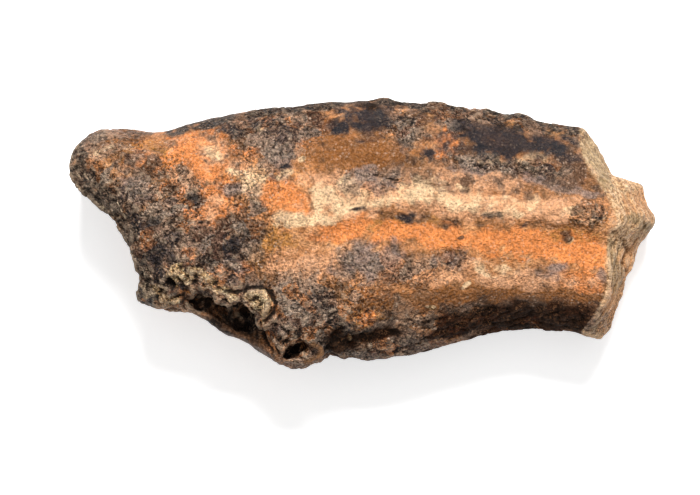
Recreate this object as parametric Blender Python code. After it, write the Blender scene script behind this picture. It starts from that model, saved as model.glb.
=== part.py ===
"""Fossil claw of a meat-eating dinosaur: the joint end of a claw bone, broken off short of its point.

The claw lies on its side. Sizes are in millimetres until the last step scales them to metres:
x runs from the joint to the break, y from the belly of the claw up to its back, and z away from the
ground, from 0 in the bone's middle plane. The finished part has its box's bottom centre at the origin.
"""

import math
from bisect import bisect_right

import bmesh
import bpy
from mathutils import Matrix, Vector, noise

MM = 0.001

# How finely the surface is first made, and the share of its faces that stays after thinning.
RINGS = 210
RING_POINTS = 160
JOINT_RINGS = 26
BREAK_RINGS = 26
SKIN_VOXEL = 0.3
FACES_KEPT = 0.083

# The outline seen from the side, as (x, y): the back, then the belly with its broken knuckle.
BACK = [
    (1.4, 22.9), (2.1, 23.6), (3.2, 23.95), (7.0, 23.7), (9.5, 23.65), (12.0, 24.3), (17.0, 25.5),
    (23.5, 26.35), (30.0, 26.65), (36.0, 26.5), (42.0, 25.7), (47.0, 24.8), (51.3, 23.9),
]
BELLY = [
    (6.8, 6.7), (7.5, 6.5), (9.0, 6.05), (13.0, 5.4), (14.5, 4.65), (16.0, 3.5), (18.0, 2.35),
    (20.5, 1.1), (22.5, 0.3), (24.5, 0.4), (30.0, 0.65), (35.0, 1.5), (40.0, 3.0), (43.5, 3.75),
    (48.0, 3.85), (51.0, 3.4), (52.9, 2.7),
]
# Small bumps of the two edges, as (x, height, width), which fade out over the flanks.
BACK_BUMPS = [(31.3, 0.35, 0.9), (36.6, 0.2, 0.9), (39.6, -0.25, 0.8), (41.6, 0.2, 0.7), (45.2, 0.3, 1.0)]
BELLY_BUMPS = [(26.2, 1.05, 0.9), (28.2, 0.45, 0.9), (46.3, 0.25, 0.8)]
BUMP_FADE = 7

# The hollow end that met the toe bone, then the break's near and furthest edges, as (y, x).
JOINT = [
    (6.7, 6.8), (7.3, 6.7), (9.3, 6.9), (11.8, 6.2), (13.8, 5.15), (15.7, 3.3), (17.7, 1.3),
    (19.0, 0.5), (20.4, 0.3), (21.8, 0.7), (22.9, 1.5),
]
BREAK_NEAR = [
    (2.7, 52.9), (3.4, 52.0), (4.6, 52.2), (5.7, 52.8), (6.8, 53.3), (8.6, 53.6), (11.0, 53.7),
    (13.1, 53.7), (13.9, 54.3), (14.7, 54.7), (16.3, 54.1), (18.7, 52.7), (20.0, 51.8),
    (21.6, 51.2), (22.6, 51.0), (23.9, 51.3),
]
BREAK_FURTHEST = [
    (2.7, 53.2), (3.3, 53.9), (5.0, 54.3), (7.8, 55.2), (10.0, 56.2), (11.3, 56.6), (12.6, 57.2),
    (13.7, 58.0), (14.9, 58.7), (16.2, 57.9), (17.1, 57.5), (18.3, 57.2), (18.8, 56.0),
    (19.1, 54.6), (20.2, 53.8), (21.4, 53.0), (23.9, 51.3),
]
# How far the break has risen towards its furthest edge, by the share of the thickness from the near side.
BREAK_RISE = [(0.0, 0.0), (0.15, 0.3), (0.4, 0.74), (0.62, 1.0), (0.85, 0.93), (1.0, 0.8)]

# Half thickness of each side, by the share of the length from the joint.
NEAR_HALF = [(0.0, 4.9), (0.03, 5.9), (0.08, 6.8), (0.15, 7.3), (0.35, 7.4), (0.6, 7.0), (1.0, 6.3)]
FAR_HALF = [(0.0, 5.0), (0.03, 5.9), (0.08, 6.7), (0.15, 7.0), (0.35, 7.0), (0.7, 7.0), (1.0, 6.8)]

# Flank profiles, from the back's edge at 0 round to the belly's edge at 1, as shares of the half thickness.
JOINT_FLANK = [
    (0.0, 0.0), (0.1, 0.34), (0.2, 0.6), (0.35, 0.84), (0.5, 0.96), (0.62, 1.0), (0.75, 0.95),
    (0.85, 0.78), (0.93, 0.5), (1.0, 0.0),
]
KNUCKLE_FLANK = [
    (0.0, 0.0), (0.1, 0.26), (0.2, 0.52), (0.3, 0.74), (0.42, 0.92), (0.52, 0.98), (0.6, 1.0),
    (0.7, 0.98), (0.8, 0.91), (0.88, 0.78), (0.94, 0.58), (1.0, 0.0),
]
KNUCKLE_FAR_FLANK = [
    (0.0, 0.0), (0.1, 0.26), (0.2, 0.52), (0.3, 0.74), (0.42, 0.92), (0.52, 0.98), (0.6, 1.0),
    (0.7, 0.96), (0.8, 0.82), (0.88, 0.6), (0.94, 0.36), (1.0, 0.0),
]
SHAFT_FLANK = [
    (0.0, 0.0), (0.1, 0.26), (0.2, 0.52), (0.3, 0.75), (0.42, 0.94), (0.5, 0.99), (0.57, 1.0),
    (0.64, 0.98), (0.7, 0.9), (0.76, 0.76), (0.84, 0.52), (0.91, 0.3), (1.0, 0.0),
]
SHAFT_FAR_FLANK = [
    (0.0, 0.0), (0.1, 0.26), (0.2, 0.52), (0.3, 0.75), (0.42, 0.94), (0.52, 0.99), (0.6, 1.0),
    (0.68, 0.98), (0.76, 0.88), (0.84, 0.62), (0.91, 0.36), (1.0, 0.0),
]
KNUCKLE_AT = 0.3
SHAFT_AT = 0.55

# The blood groove of each side: its upper lip's path as (x, y), and its depth and width below the lip.
NEAR_LIP = [
    (19.0, 11.0), (22.0, 12.0), (26.0, 13.8), (30.0, 14.9), (34.0, 15.15), (38.0, 15.1),
    (42.0, 14.9), (46.0, 14.4), (49.0, 13.9), (55.0, 12.9),
]
LIP_STEPS = [(19.0, 0.0), (29.0, 0.55), (44.0, 0.6), (54.0, 0.75)]
LIP_SHARPNESS = 1.2
LIP_CREST = 0.45
LIP_CREST_WIDTH = 2.6
GROOVE_WIDTH = 2.6
FAR_GROOVE = [(16.0, 9.0), (22.0, 11.6), (28.0, 13.6), (36.0, 14.4), (44.0, 14.0), (58.0, 12.6)]
FAR_GROOVE_DEPTH = 1.1
FAR_GROOVE_WIDTH = 1.1
FAR_RIDGE_HEIGHT = 0.65
FAR_RIDGE_ABOVE = 2.8
FAR_RIDGE_WIDTH = 1.7
# Where along the claw both grooves start and where they are at their full depth.
GROOVE_STARTS = 19.0
GROOVE_FULL = 29.0

# The furrow between the near flank's lower edge and the belly's keel, and where it deepens and fades out.
FURROW = [(25.0, 3.3), (28.0, 3.1), (31.0, 3.6), (34.0, 4.2), (40.0, 4.8)]
FURROW_DEPTH = 1.2
FURROW_WIDTH = 0.85
FURROW_STARTS = (24.0, 28.5)
FURROW_ENDS = (30.0, 37.0)

# The two cups of the joint and the ridge between them, with the share of the cups' depth that it fills.
CUP_DEPTH = 1.5
CUP_RIDGE_WIDTH = 1.7
CUP_RIDGE_SHARE = 0.8
JOINT_CENTRE_Y = 14.8
BREAK_CENTRE_Y = 13.4

# Lumps of the bone's worn skin, of its broken knuckle and of the break, as (size across, height).
SKIN_LUMPS = [(5.0, 0.28), (2.2, 0.2)]
KNUCKLE_LUMPS = [(2.8, 0.55), (1.2, 0.3)]
BREAK_LUMPS = [(3.0, 0.35), (1.3, 0.25)]
# The broken knuckle's zone: along the claw, full from the second to the third value, and up from the belly.
KNUCKLE_ZONE_ALONG = (6.0, 9.0, 26.0, 29.0)
KNUCKLE_ZONE_UP = (5.0, 9.0)
# The break's lumps are flattened by this factor across the thickness, and fade out towards its rim by this power.
BREAK_LUMPS_FLATTENED = 1.6
BREAK_RIM_POWER = 6

# The layers of dense bone that stand out on the break's belly half: their height and spacing, how many spacings
# they wander, the size of that wandering up and across the break, and where they fade out towards the back.
LAYER_HEIGHT = 0.22
LAYER_SPACING = 2.6
LAYER_WANDER = 0.9
LAYER_WANDER_SIZE = (3.5, 5.0)
LAYERS_FADE = (11.5, 14.0)
# Which cut through the noise the break's lumps and its layers take.
BREAK_LUMPS_CUT = 3.0
LAYER_CUT = 7.0

# Hollows broken into the knuckle and the skin: centre, half sizes, and turn in the side view in degrees.
HOLLOWS = {
    "spall": ((16.9, 3.3, 8.6), (4.8, 3.3, 5.6), -33),
    "marrow_hollow": ((17.1, 5.6, 4.2), (2.0, 1.7, 3.2), -35),
    "joint_hollow": ((13.7, 6.5, 5.6), (1.7, 0.95, 2.6), -14),
    "middle_hollow": ((15.3, 5.9, 5.2), (1.5, 0.9, 2.6), -30),
    "knob_hollow": ((22.6, 1.95, 5.4), (1.6, 0.62, 2.6), 30),
    "knob_notch": ((26.7, 2.3, 6.6), (1.7, 1.7, 2.3), -25),
    "rim_pit": ((9.6, 8.7, 7.1), (0.95, 0.75, 1.0), 20),
    "lip_pit": ((33.9, 15.0, 7.6), (1.4, 0.6, 0.7), -6),
    "break_pit": ((54.3, 13.2, 6.2), (0.5, 0.5, 0.8), 0),
}
HOLLOW_RAGGED = 0.28
# How closely the raggedness of hollows and crust is spaced, in lumps for each half size.
RAGGED_SPACING = 1.7

# Lumps of hardened sand and bone that still stand on the rim of the hollows.
CRUST = {
    "rim_crust": ((13.4, 8.8, 6.6), (1.8, 0.8, 0.9), -28),
    "round_crust": ((16.1, 7.3, 6.5), (1.25, 0.95, 0.95), -10),
    "long_crust": ((18.6, 6.9, 6.6), (1.7, 1.15, 0.95), -20),
    "hanging_crust": ((19.5, 5.2, 6.3), (0.85, 1.6, 0.95), 12),
    "knob_lip": ((24.1, 1.7, 4.2), (1.5, 0.75, 1.3), 38),
}
CRUST_RAGGED = 0.22

# The level at which the far side's two long ridges are worn flat, and on which the claw lies.
GROUND_Z = -6.85
GROUND_BLOCK = (80.0, 50.0, 10.0)
GROUND_BLOCK_MIDDLE = (29.0, 13.0)
SHARP_EDGE_DEGREES = 50

BONE_BROWN = (0.38, 0.17, 0.07, 1.0)


def through(points):
    """A function whose graph runs smoothly through the points, and is level beyond the first and last."""
    xs = [x for x, _ in points]
    ys = [y for _, y in points]
    chords = [(ys[i + 1] - ys[i]) / (xs[i + 1] - xs[i]) for i in range(len(xs) - 1)]
    slopes = [chords[0]] + [(a + b) / 2 for a, b in zip(chords, chords[1:])] + [chords[-1]]

    def value(x):
        x = min(max(x, xs[0]), xs[-1])
        i = min(bisect_right(xs, x), len(xs) - 1) - 1
        span = xs[i + 1] - xs[i]
        u = (x - xs[i]) / span
        return (
            ys[i] * (1 + 2 * u) * (1 - u) ** 2
            + ys[i + 1] * u * u * (3 - 2 * u)
            + span * (slopes[i] * u * (1 - u) ** 2 - slopes[i + 1] * u * u * (1 - u))
        )

    return value


back, belly = through(BACK), through(BELLY)
joint, break_near, break_furthest = through(JOINT), through(BREAK_NEAR), through(BREAK_FURTHEST)
break_rise = through(BREAK_RISE)
near_half, far_half = through(NEAR_HALF), through(FAR_HALF)
joint_flank = through(JOINT_FLANK)
shaft_flank, shaft_far_flank = through(SHAFT_FLANK), through(SHAFT_FAR_FLANK)
knuckle_flank, knuckle_far_flank = through(KNUCKLE_FLANK), through(KNUCKLE_FAR_FLANK)
near_lip, lip_step = through(NEAR_LIP), through(LIP_STEPS)
far_groove, furrow = through(FAR_GROOVE), through(FURROW)


def mix(a, b, share):
    return a + (b - a) * share


def ease(low, high, x):
    """0 up to low, 1 from high, and smooth between them."""
    u = min(max((x - low) / (high - low), 0.0), 1.0)
    return u * u * (3 - 2 * u)


def bump(distance, width):
    """A smooth bump of height 1 at distance 0."""
    return math.exp(-((distance / width) ** 2))


def bumps(rows, x):
    return sum(height * bump(x - middle, width) for middle, height, width in rows)


def lumps(rows, place):
    return sum(height * noise.noise(place / across) for across, height in rows)


def flank(along, around, near):
    """A flank's profile at a share of the length, from the back's edge at 0 to the belly's at 1."""
    to_knuckle = ease(0.0, KNUCKLE_AT, along)
    to_shaft = ease(KNUCKLE_AT, SHAFT_AT, along)
    knuckle = knuckle_flank(around) if near else knuckle_far_flank(around)
    front = mix(joint_flank(around), knuckle, to_knuckle)
    shaft = shaft_flank(around) if near else shaft_far_flank(around)
    return mix(front, shaft, to_shaft)


def near_relief(x, y):
    """What the lip, the blood groove and the belly's furrow add to the near flank."""
    below = near_lip(x) - y
    step = ease(-LIP_SHARPNESS, LIP_SHARPNESS, below)
    groove = lip_step(x) * step * math.exp(-max(below, 0.0) / GROOVE_WIDTH)
    crest = LIP_CREST * (1 - step) * bump(min(below, 0.0), LIP_CREST_WIDTH) * ease(GROOVE_STARTS, GROOVE_FULL, x)
    furrow_share = ease(*FURROW_STARTS, x) * (1 - ease(*FURROW_ENDS, x))
    return crest - groove - FURROW_DEPTH * bump(y - furrow(x), FURROW_WIDTH) * furrow_share


def far_relief(x, y):
    """What the blood groove takes from the far flank, and the ridge above it adds."""
    above = y - far_groove(x)
    groove = FAR_GROOVE_DEPTH * bump(above, FAR_GROOVE_WIDTH)
    ridge = FAR_RIDGE_HEIGHT * bump(above - FAR_RIDGE_ABOVE, FAR_RIDGE_WIDTH)
    return (groove - ridge) * ease(GROOVE_STARTS, GROOVE_FULL, x)


def side_point(along, turn):
    """The point on the flanks at a share of the length and a turn from the back, over the near side first."""
    near = turn <= math.pi
    around = turn / math.pi if near else 2 - turn / math.pi
    down = (1 - math.cos(turn)) / 2
    back_x = mix(BACK[0][0], BACK[-1][0], along)
    belly_x = mix(BELLY[0][0], BELLY[-1][0], along)
    y = mix(back(back_x), belly(belly_x), down)
    y += bumps(BACK_BUMPS, back_x) * (1 - down) ** BUMP_FADE + bumps(BELLY_BUMPS, belly_x) * down**BUMP_FADE
    break_y = mix(BACK[-1][1], BELLY[-1][1], down)
    break_x = break_near(break_y)
    if not near:
        break_x = mix(break_x, break_furthest(break_y), BREAK_RISE[-1][1])
    x = mix(joint(mix(BACK[0][1], BELLY[0][1], down)), break_x, along)
    edge_fade = math.sqrt(max(math.sin(math.pi * around), 0.0))
    if near:
        z = near_half(along) * flank(along, around, near) + near_relief(x, y) * edge_fade
    else:
        z = -far_half(along) * flank(along, around, near) + far_relief(x, y) * edge_fade
    return Vector((x, y, z))


def joint_point(spread, turn):
    """The point on the joint's face at a share of the way from its middle to its rim."""
    rim = side_point(0.0, turn)
    y = mix(JOINT_CENTRE_Y, rim.y, spread)
    z = rim.z * spread
    ridge = CUP_RIDGE_SHARE * bump(z, CUP_RIDGE_WIDTH)
    return Vector((joint(y) + CUP_DEPTH * (1 - spread**2) * (1 - ridge), y, z))


def break_point(spread, turn):
    """The point on the break at a share of the way from its middle to its rim."""
    rim = side_point(1.0, turn)
    y = mix(BREAK_CENTRE_Y, rim.y, spread)
    z = rim.z * spread
    down = (BACK[-1][1] - y) / (BACK[-1][1] - BELLY[-1][1])
    level = math.acos(1 - 2 * min(max(down, 0.0), 1.0))
    near_z = side_point(1.0, level).z
    far_z = side_point(1.0, 2 * math.pi - level).z
    deep = min(max((near_z - z) / max(near_z - far_z, 0.01), 0.0), 1.0)
    x = mix(break_near(y), break_furthest(y), break_rise(deep))
    rough = lumps(BREAK_LUMPS, Vector((BREAK_LUMPS_CUT, y, z * BREAK_LUMPS_FLATTENED)))
    wander = LAYER_WANDER * noise.noise(Vector((LAYER_CUT, y / LAYER_WANDER_SIZE[0], z / LAYER_WANDER_SIZE[1])))
    wave = 2 * math.pi * (z / LAYER_SPACING + wander)
    layers = LAYER_HEIGHT * math.sin(wave) * (1 - ease(*LAYERS_FADE, y))
    return Vector((x + (rough + layers) * (1 - spread**BREAK_RIM_POWER), y, z))


def claw_point(ring, turn):
    """The point of one ring of the claw, from the joint's middle over the flanks to the break's middle."""
    last_side_ring = RINGS - BREAK_RINGS
    if ring < JOINT_RINGS:
        return joint_point(ring / JOINT_RINGS, turn)
    if ring > last_side_ring:
        return break_point((RINGS - ring) / BREAK_RINGS, turn)
    return side_point((ring - JOINT_RINGS) / (last_side_ring - JOINT_RINGS), turn)


def make_object(name, bm):
    mesh = bpy.data.meshes.new(name)
    bm.to_mesh(mesh)
    bm.free()
    made = bpy.data.objects.new(name, mesh)
    bpy.context.scene.collection.objects.link(made)
    return made


def make_bone():
    """The whole bone, pulled from a sphere whose poles become the joint's and the break's middles."""
    bm = bmesh.new()
    bmesh.ops.create_uvsphere(bm, u_segments=RING_POINTS, v_segments=RINGS, radius=1.0)
    for vert in bm.verts:
        ring = round(math.acos(min(max(vert.co.z, -1.0), 1.0)) / math.pi * RINGS)
        turn = math.atan2(vert.co.y, vert.co.x) % (2 * math.pi)
        vert.co = claw_point(ring, turn)
    bmesh.ops.recalc_face_normals(bm, faces=bm.faces)
    bm.normal_update()
    starts, full, fades, ends = KNUCKLE_ZONE_ALONG
    for vert in bm.verts:
        x, y, _ = vert.co
        broken = ease(starts, full, x) * (1 - ease(fades, ends, x)) * (1 - ease(*KNUCKLE_ZONE_UP, y))
        vert.co += vert.normal * (lumps(SKIN_LUMPS, vert.co) + broken * lumps(KNUCKLE_LUMPS, vert.co))
    return make_object("fossil_claw", bm)


def make_solids(collection_name, solids, ragged):
    """A hidden collection of ragged rounded lumps, to cut away from the bone or to join to it."""
    collection = bpy.data.collections.new(collection_name)
    bpy.context.scene.collection.children.link(collection)
    for name, (centre, half_sizes, turn) in solids.items():
        bm = bmesh.new()
        bmesh.ops.create_icosphere(bm, subdivisions=4, radius=1.0)
        for vert in bm.verts:
            vert.co *= 1 + ragged * noise.noise(vert.co * RAGGED_SPACING + Vector(centre))
        bmesh.ops.scale(bm, vec=half_sizes, verts=bm.verts)
        bmesh.ops.rotate(bm, matrix=Matrix.Rotation(math.radians(turn), 3, "Z"), verts=bm.verts)
        bmesh.ops.translate(bm, vec=centre, verts=bm.verts)
        solid = make_object(name, bm)
        solid.hide_render = True
        solid.display_type = "WIRE"
        bpy.context.scene.collection.objects.unlink(solid)
        collection.objects.link(solid)
    return collection


def add_boolean(bone, name, operation, collection):
    modifier = bone.modifiers.new(name, "BOOLEAN")
    modifier.operation = operation
    modifier.operand_type = "COLLECTION"
    modifier.collection = collection


def apply_modifiers(obj):
    graph = bpy.context.evaluated_depsgraph_get()
    mesh = bpy.data.meshes.new_from_object(obj.evaluated_get(graph))
    obj.modifiers.clear()
    obj.data = mesh


def make_ground():
    """A hidden block whose top is the plane that the claw lies on."""
    bm = bmesh.new()
    bmesh.ops.create_cube(bm, size=1.0)
    bmesh.ops.scale(bm, vec=GROUND_BLOCK, verts=bm.verts)
    bmesh.ops.translate(bm, vec=(*GROUND_BLOCK_MIDDLE, GROUND_Z - GROUND_BLOCK[2] / 2), verts=bm.verts)
    ground = make_object("ground", bm)
    ground.hide_render = True
    ground.display_type = "WIRE"
    return ground


def place(bone):
    """Puts the part in its own frame, in metres, with its box's bottom centre at the origin."""
    corners = [Vector(corner) for corner in bone.bound_box]
    low = Vector([min(corner[axis] for corner in corners) for axis in range(3)])
    high = Vector([max(corner[axis] for corner in corners) for axis in range(3)])
    foot = Vector(((low.x + high.x) / 2, (low.y + high.y) / 2, low.z))
    bone.data.transform(Matrix.Scale(MM, 4) @ Matrix.Translation(-foot))


def fossil_bone_material():
    material = bpy.data.materials.new("fossil_bone")
    material.use_nodes = True
    shader = material.node_tree.nodes["Principled BSDF"]
    shader.inputs["Base Color"].default_value = BONE_BROWN
    shader.inputs["Roughness"].default_value = 0.55
    return material


def main():
    for obj in list(bpy.data.objects):
        bpy.data.objects.remove(obj)
    bone = make_bone()
    add_boolean(bone, "hollows", "DIFFERENCE", make_solids("hollows", HOLLOWS, HOLLOW_RAGGED))
    add_boolean(bone, "crust", "UNION", make_solids("crust", CRUST, CRUST_RAGGED))
    skin = bone.modifiers.new("skin", "REMESH")
    skin.mode = "VOXEL"
    skin.voxel_size = SKIN_VOXEL
    thin = bone.modifiers.new("thin", "DECIMATE")
    thin.ratio = FACES_KEPT
    worn = bone.modifiers.new("worn", "BOOLEAN")
    worn.object = make_ground()
    apply_modifiers(bone)
    place(bone)
    bone.data.materials.append(fossil_bone_material())
    bone.data.shade_smooth()
    bone.data.set_sharp_from_angle(angle=math.radians(SHARP_EDGE_DEGREES))


main()
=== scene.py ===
"""Looks of the fossil claw: worn bone stained by iron and manganese, with sand on its broken knuckle.

The claw lies on its side, with its joint at -X, its break at +X and its back at +Y. Lengths are in metres,
except on the plan. The plan is a drawing of the side that faces up. Its unit is a tenth of a millimetre,
with x to the right and y down from its top left corner. A shape on the plan is (x, y, half width, half
height, turn in degrees), and a sixth number is the most that it covers. A line on the plan is a list of its
points. A pair of numbers that ease() takes is where a change starts and where it ends.
"""

import math

import bmesh
import bpy
import numpy as np
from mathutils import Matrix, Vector, noise


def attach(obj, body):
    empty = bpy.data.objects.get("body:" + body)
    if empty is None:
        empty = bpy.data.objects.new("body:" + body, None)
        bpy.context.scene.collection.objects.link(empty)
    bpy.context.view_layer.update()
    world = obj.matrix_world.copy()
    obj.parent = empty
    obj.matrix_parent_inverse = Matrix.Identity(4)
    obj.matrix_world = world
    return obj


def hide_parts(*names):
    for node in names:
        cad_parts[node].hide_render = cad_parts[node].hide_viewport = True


MM = 0.001

# The plan's middle and unit, and the eye that it is drawn from, straight above.
PLAN_MIDDLE = (350.0, 247.5)
PLAN_UNIT = 0.1 * MM
EYE = Vector((-1.488, -1.467, 326.85)) * MM
EYE_DISTANCE = 320.0 * MM
PLAN_WIDTH = 70.0 * MM
# The hidden side's stains mirror those that face up: the x of a place and of its image add up to this.
MIRROR_SUM = 727

# The fine surface: its grid, and how often the solid's facets and the directions of its faces are smoothed.
SURFACE_VOXEL = 0.224 * MM
FACET_SMOOTHINGS = 10
NORMAL_SMOOTHINGS = 3
# One smoothing moves each point by the first share towards its neighbours. The second share keeps the size.
SMOOTHING_SHARE = 0.5
SIZE_KEEPING_SHARE = 0.52

# The rounded fold between the ridge and the groove: its line, its reach in plan units and its heights.
FOLD = [(335, 208), (348, 210), (398, 219), (445, 222), (521, 226), (575, 229), (598, 226)]
FOLD_SMOOTHINGS = 45
FOLD_REACH = (5.0, 18.0)
FOLD_HEIGHTS = (4 * MM, 6 * MM)

# How stains stray from their shapes: in plan units, with the size in millimetres of what bends their edges.
EDGE_STRAY = 5
EDGE_STRAY_SIZE = 2.2
WALL_STRAY = 26
WALL_STRAY_SIZE = 3.2

# Which places face up, by the upward part of their direction, and which take the upper side's stains, by
# their height. A place that faces up counts as higher by UPPER_RAISE. Walls are steep below STEEP_ENDS.
FACES_UP = (0.0, 0.3)
UPPER_HEIGHTS = (4.5 * MM, 7.5 * MM)
UPPER_RAISE = 7.0 * MM
STEEP_ENDS = (0.1, 0.4)

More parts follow.
